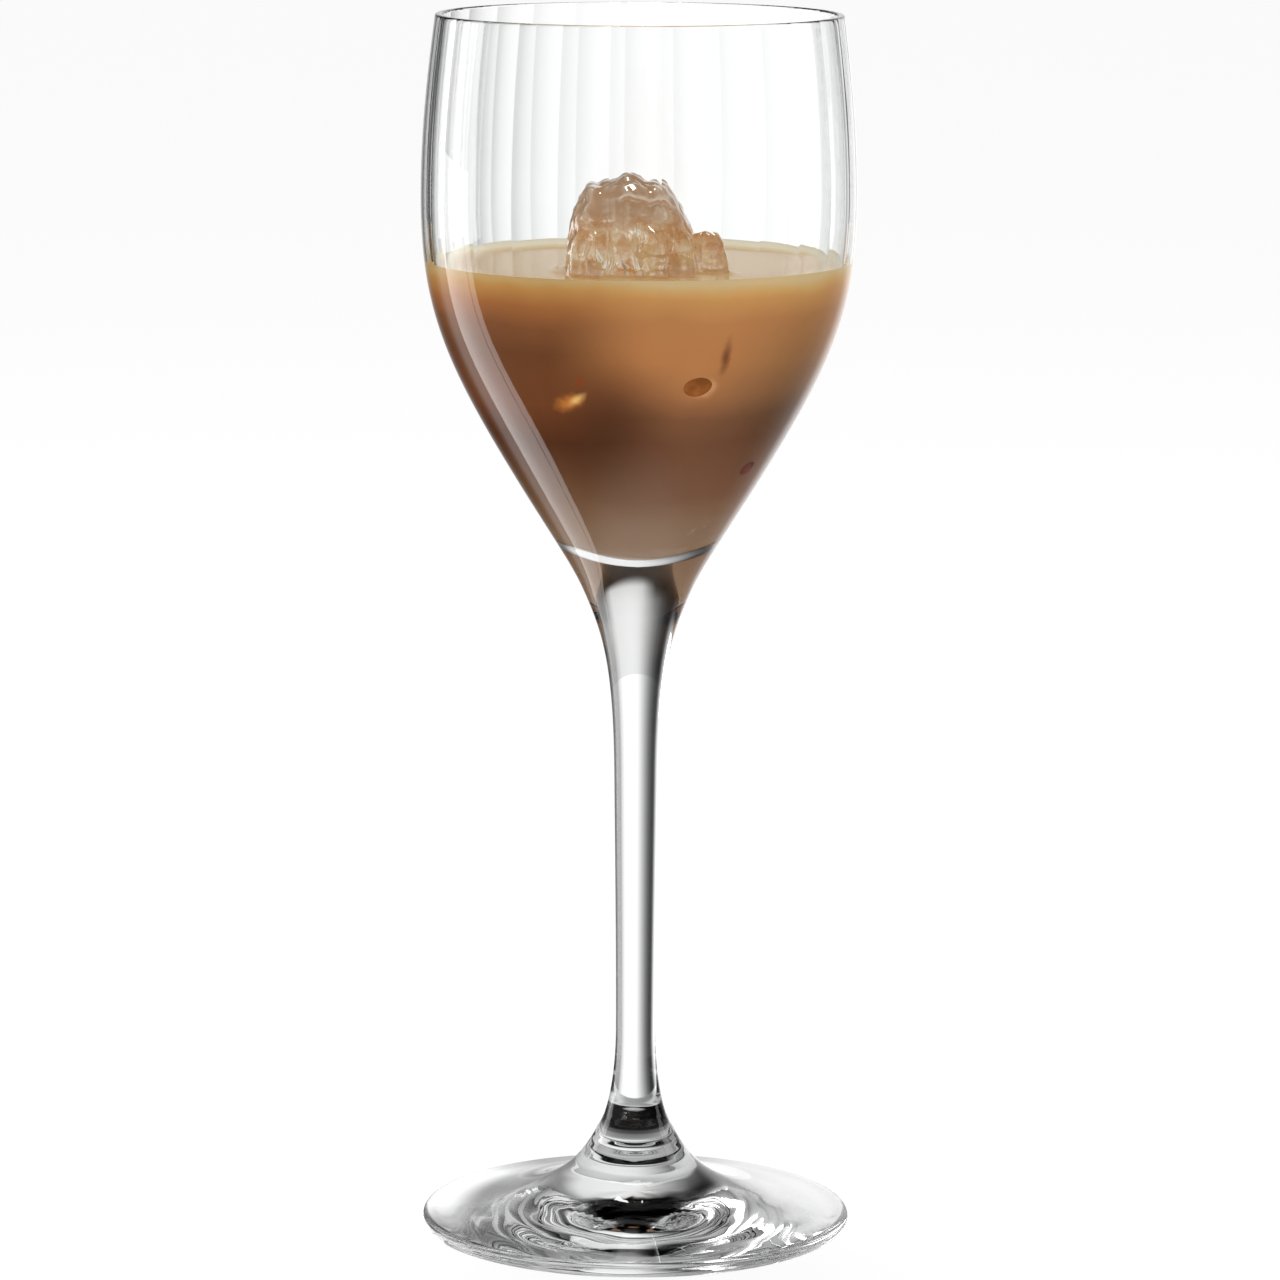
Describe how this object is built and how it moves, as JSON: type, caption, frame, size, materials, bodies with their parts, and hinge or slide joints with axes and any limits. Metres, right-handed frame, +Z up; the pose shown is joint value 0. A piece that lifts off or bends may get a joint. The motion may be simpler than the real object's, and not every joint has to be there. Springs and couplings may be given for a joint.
{
  "type": "liqueur glass",
  "caption": "Long-stemmed glass with an egg-shaped, optic-ribbed bowl on a slim solid stem and a round foot, part filled with a cream liqueur on ice.",
  "frame": {"origin": "on the table, under the middle of the foot", "axes": "+Z up along the stem, +X to the right and -Y towards the viewer of the picture"},
  "size_m": [0.0672, 0.0672, 0.19],
  "materials": {
    "clear_glass": "colourless crystal glass, fire-polished and clear all through",
    "cream_liqueur": "opaque milky coffee-brown liquid with a wet, level surface",
    "wet_ice": "translucent melting ice with a thin wet film of the drink"
  },
  "bodies": {
    "glass": {"foot": "clear_glass", "stem": "clear_glass", "bowl": "clear_glass", "drink": "cream_liqueur", "ice_cube_left": "wet_ice", "ice_cube_right": "wet_ice", "ice_cube_low": "wet_ice"},
    "ice": {"ice_lump": "wet_ice", "ice_chip": "wet_ice"}
  },
  "joints": [
    {"name": "ice_lift", "type": "slide", "parent": "glass", "child": "ice", "axis": [0, 0, 1], "range_m": [0, 0.065]}
  ]
}
